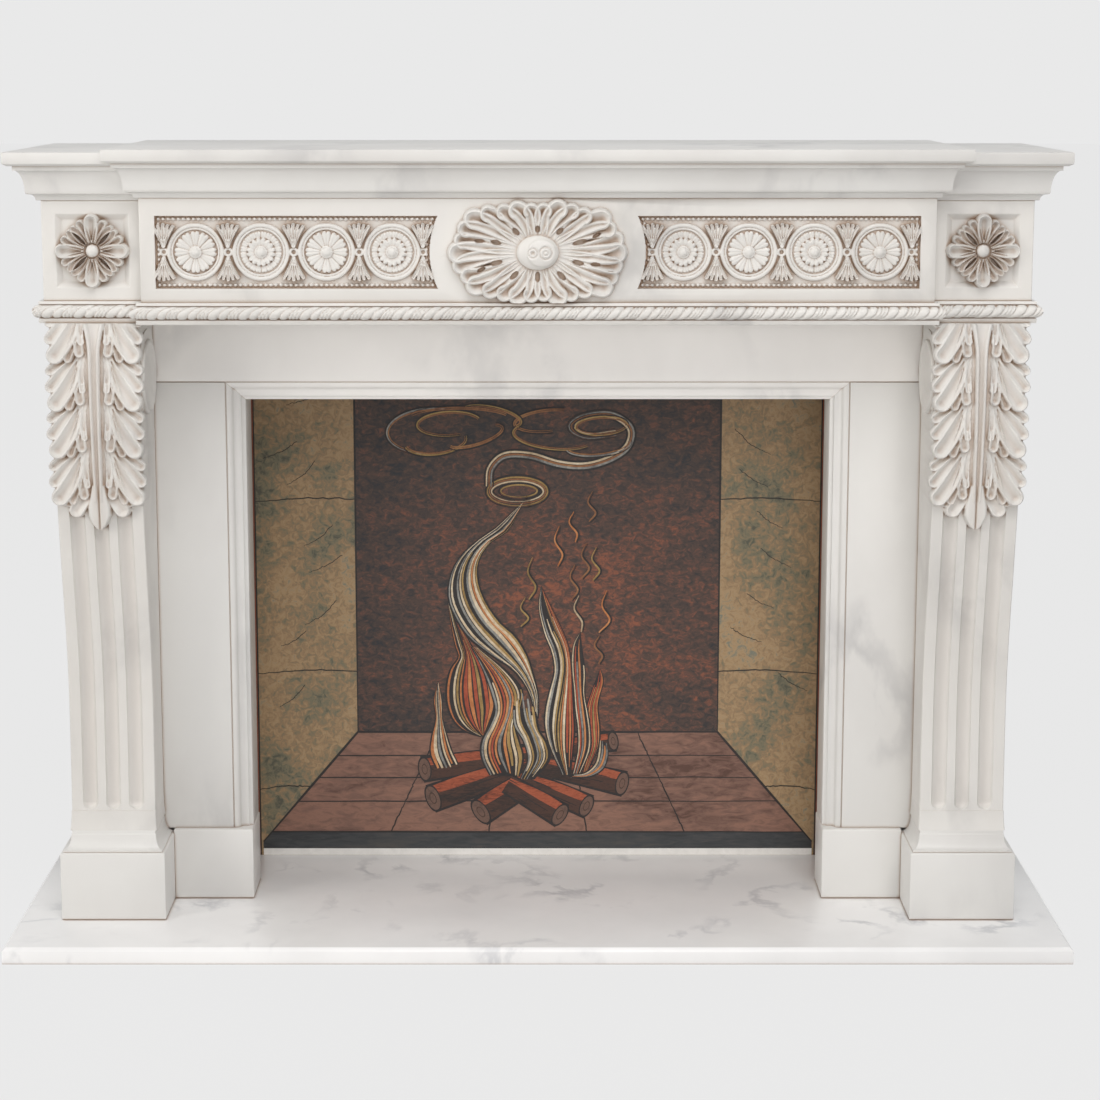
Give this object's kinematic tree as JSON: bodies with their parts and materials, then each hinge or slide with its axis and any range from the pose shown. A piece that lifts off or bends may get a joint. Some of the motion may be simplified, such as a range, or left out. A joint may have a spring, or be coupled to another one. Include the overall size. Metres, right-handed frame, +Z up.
{
  "type": "fireplace mantel",
  "caption": "Carved marble chimneypiece with fluted scroll consoles, breakfront frieze, oval acanthus boss, rope course, hearth slab and painted fireboard.",
  "frame": {"origin": "middle of the underside of the hearth slab, which is the lowest face of the whole piece", "axes": "+X across the chimneypiece to the viewer's right, +Y from the front to the flat back, +Z up"},
  "size_m": [1.896, 0.5, 1.433],
  "materials": {
    "marble": "honed white marble with faint grey veins",
    "hearth_marble": "polished white marble with soft grey veins",
    "carved_marble": "carved and rubbed white marble, warm in the hollows",
    "painted_board": "oil-painted wooden panel"
  },
  "bodies": {
    "root": {"hearth_slab": "hearth_marble", "left_console_plinth": "marble", "right_console_plinth": "marble", "left_jamb_plinth": "marble", "right_jamb_plinth": "marble", "left_console_base": "marble", "right_console_base": "marble", "left_console": "carved_marble", "right_console": "carved_marble", "left_jamb": "marble", "right_jamb": "marble", "lintel": "marble", "rope_course": "carved_marble", "frieze_centre": "carved_marble", "left_frieze_block": "carved_marble", "right_frieze_block": "carved_marble", "cornice": "marble", "mantel_shelf": "marble", "painted_fireboard": "painted_board"}
  },
  "joints": []
}
